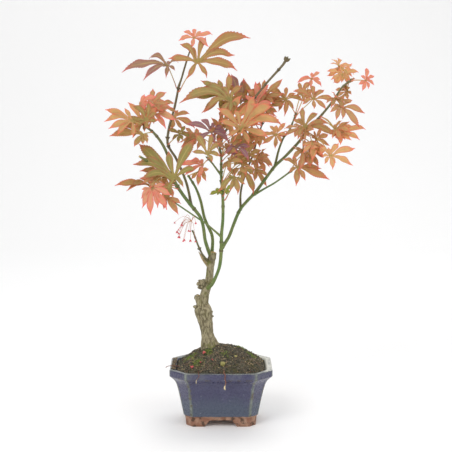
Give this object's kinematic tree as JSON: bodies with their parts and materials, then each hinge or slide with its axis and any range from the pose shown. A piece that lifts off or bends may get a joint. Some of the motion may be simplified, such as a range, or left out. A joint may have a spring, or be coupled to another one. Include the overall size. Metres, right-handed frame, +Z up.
{
  "type": "bonsai tree in a pot",
  "caption": "Young Japanese maple bonsai with orange-green palmate leaves in a blue glazed ceramic pot with cut corners and unglazed feet.",
  "frame": {"origin": "on the ground, under the middle of the whole plant's bounding box", "axes": "+Z up, -Y the front of the pot, +X to the right seen from the front"},
  "size_m": [0.2842, 0.1544, 0.4325],
  "materials": {
    "glazed_pot": "glossy slate-blue glaze over unglazed terracotta feet",
    "soil": "rough dark soil with moss and grit",
    "screen_mesh": "matte",
    "grey_bark": "rough bark",
    "green_bark": "smooth young bark",
    "leaf_olive": "soft satin",
    "leaf_bronze": "soft satin",
    "leaf_orange": "soft satin",
    "leaf_pink": "soft satin",
    "leaf_purple": "soft satin"
  },
  "bodies": {
    "root": {"pot": "glazed_pot", "soil": "soil", "drain_screen": "screen_mesh", "trunk": "grey_bark", "left_branch": "green_bark", "cut_twig": "green_bark", "crown_branch": "grey_bark", "crown_twig": "grey_bark", "bare_left_twig": "grey_bark", "middle_branch": "green_bark", "centre_branch": "green_bark", "low_green_twig": "green_bark", "centre_side_twig": "green_bark", "right_branch": "green_bark", "upright_twig": "grey_bark", "small_right_twig": "green_bark", "right_leafy_twig": "green_bark", "bare_top_twig": "grey_bark", "crown_twig_leaf_1": "leaf_pink", "crown_branch_leaf_1": "leaf_bronze", "crown_branch_leaf_2": "leaf_purple", "crown_branch_leaf_3": "leaf_bronze", "crown_branch_leaf_4": "leaf_olive", "left_branch_leaf_1": "leaf_pink", "left_branch_leaf_2": "leaf_pink", "left_branch_leaf_3": "leaf_orange", "left_branch_leaf_4": "leaf_olive", "left_branch_leaf_5": "leaf_olive", "left_branch_leaf_6": "leaf_bronze", "left_branch_leaf_7": "leaf_pink", "low_green_twig_leaf_1": "leaf_bronze", "middle_branch_leaf_1": "leaf_orange", "centre_branch_leaf_1": "leaf_purple", "centre_branch_leaf_2": "leaf_bronze", "centre_branch_leaf_3": "leaf_orange", "centre_branch_leaf_4": "leaf_olive", "centre_branch_leaf_5": "leaf_purple", "centre_branch_leaf_6": "leaf_olive", "centre_branch_leaf_7": "leaf_olive", "centre_branch_leaf_8": "leaf_olive", "centre_side_twig_leaf_1": "leaf_olive", "centre_side_twig_leaf_2": "leaf_pink", "upright_twig_leaf_1": "leaf_pink", "upright_twig_leaf_2": "leaf_pink", "upright_twig_leaf_3": "leaf_purple", "upright_twig_leaf_4": "leaf_olive", "upright_twig_leaf_5": "leaf_bronze", "right_branch_leaf_1": "leaf_bronze", "right_branch_leaf_2": "leaf_bronze", "right_branch_leaf_3": "leaf_orange", "right_branch_leaf_4": "leaf_orange", "right_branch_leaf_5": "leaf_bronze", "right_branch_leaf_6": "leaf_orange", "right_branch_leaf_7": "leaf_pink", "small_right_twig_leaf_1": "leaf_bronze", "right_leafy_twig_leaf_1": "leaf_orange", "right_leafy_twig_leaf_2": "leaf_bronze", "right_leafy_twig_leaf_3": "leaf_bronze", "right_leafy_twig_leaf_4": "leaf_pink", "flower_cluster": "leaf_pink"}
  },
  "joints": []
}
